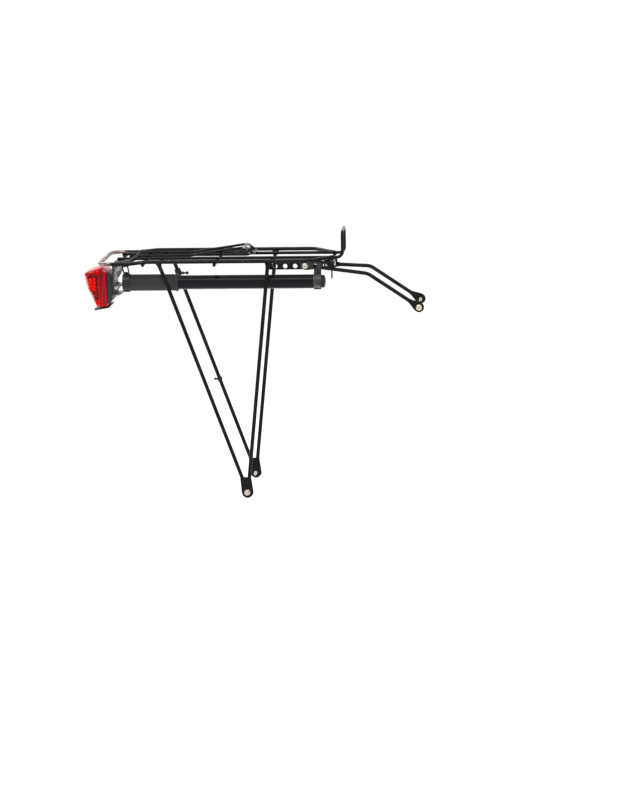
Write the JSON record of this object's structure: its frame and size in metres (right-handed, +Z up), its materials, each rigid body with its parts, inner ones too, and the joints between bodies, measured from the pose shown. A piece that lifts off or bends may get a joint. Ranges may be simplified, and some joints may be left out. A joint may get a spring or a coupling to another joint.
{
  "type": "bicycle rear rack",
  "caption": "Welded wire rear rack for a bicycle, with a sprung luggage clip, side stays, front struts, a rear light and a pump carried under the deck.",
  "frame": {"origin": "on the axis of the two foot bolts, midway between them", "axes": "+X forwards along the deck, +Y to the bicycle's left, +Z up, square to the level deck"},
  "size_m": [0.5376, 0.1528, 0.421],
  "materials": {
    "black_paint": "gloss",
    "black_steel_sheet": "satin",
    "zinc_hardware": "zinc plated, dulled",
    "spring_steel": "oiled",
    "worn_wire": "paint worn to bare metal",
    "galvanised_sheet": "weathered",
    "red_lens": "transparent red",
    "black_plastic": "moulded",
    "lamp_insert": "moulded",
    "clear_lamp": "clear",
    "pump_barrel_plastic": "satin",
    "pump_grip_plastic": "satin",
    "pump_grey_plastic": "satin",
    "bright_rod": "polished",
    "piston_rubber": "matt"
  },
  "bodies": {
    "rack": {"cable_guide": "black_plastic", "cable_hook": "black_plastic", "clamp_bolts": "zinc_hardware", "clamp_nuts": "zinc_hardware", "clamp_washer": "zinc_hardware", "clip_pivot_rod": "black_paint", "clip_spring_left": "spring_steel", "clip_spring_right": "spring_steel", "crossbar_front_stays": "black_paint", "crossbar_middle": "black_paint", "crossbar_rear_stays": "black_paint", "crossbar_tail": "black_paint", "foot_bolts": "zinc_hardware", "foot_plate_left": "black_paint", "foot_plate_right": "black_paint", "foot_washers": "zinc_hardware", "front_bracket": "black_paint", "front_crossbar": "black_paint", "front_stay_left": "black_paint", "front_stay_right": "black_paint", "inner_rail_hoop": "black_paint", "lens": "red_lens", "light_base_lip": "black_plastic", "light_board": "lamp_insert", "light_bracket": "galvanised_sheet", "light_bulb": "clear_lamp", "light_housing": "black_plastic", "light_nuts": "zinc_hardware", "light_reflector": "lamp_insert", "light_screws": "zinc_hardware", "mudguard_strap": "black_steel_sheet", "outer_rail": "black_paint", "pump_barrel": "pump_barrel_plastic", "pump_cap": "black_plastic", "pump_front_clip": "black_steel_sheet", "pump_hanger": "black_steel_sheet", "pump_head": "pump_grey_plastic", "pump_rear_clip": "black_steel_sheet", "rear_crossbar": "black_paint", "rear_stay_left": "black_paint", "rear_stay_right": "black_paint", "side_plate": "black_paint", "strap_screw": "zinc_hardware", "strut_tab": "black_paint"},
    "clip": {"clip_arms": "black_paint", "clip_nose_bar": "worn_wire", "clip_lower_bow": "black_paint"},
    "pump_slider": {"pump_handle": "pump_grip_plastic", "pump_rod": "bright_rod", "pump_piston": "piston_rubber", "pump_band": "pump_grip_plastic"},
    "right_strut": {"strut_right": "black_paint", "strut_end_bolt_right": "zinc_hardware"},
    "left_strut": {"strut_left": "black_paint", "strut_end_bolt_left": "zinc_hardware"}
  },
  "joints": [
    {"name": "clip_hinge", "type": "hinge", "parent": "rack", "child": "clip", "pos_m": [-0.1845, 0, 0.3629], "axis": [0, -1, 0], "range_deg": [0, 75], "stiffness_Nm_per_rad": 1.2, "springref_deg": -28.65, "deforming": ["clip_spring_left", "clip_spring_right"]},
    {"name": "pump_handle_slide", "type": "slide", "parent": "rack", "child": "pump_slider", "axis": [-1, 0, 0], "range_m": [0, 0.14]},
    {"name": "strut_right_pivot", "type": "hinge", "parent": "rack", "child": "right_strut", "pos_m": [0.0964, -0.0435, 0.3573], "axis": [0, -1, 0], "range_deg": [-7, 5]},
    {"name": "strut_left_pivot", "type": "hinge", "parent": "rack", "child": "left_strut", "pos_m": [0.1275, 0.0435, 0.3476], "axis": [0, -1, 0], "range_deg": [-12, 12]}
  ]
}
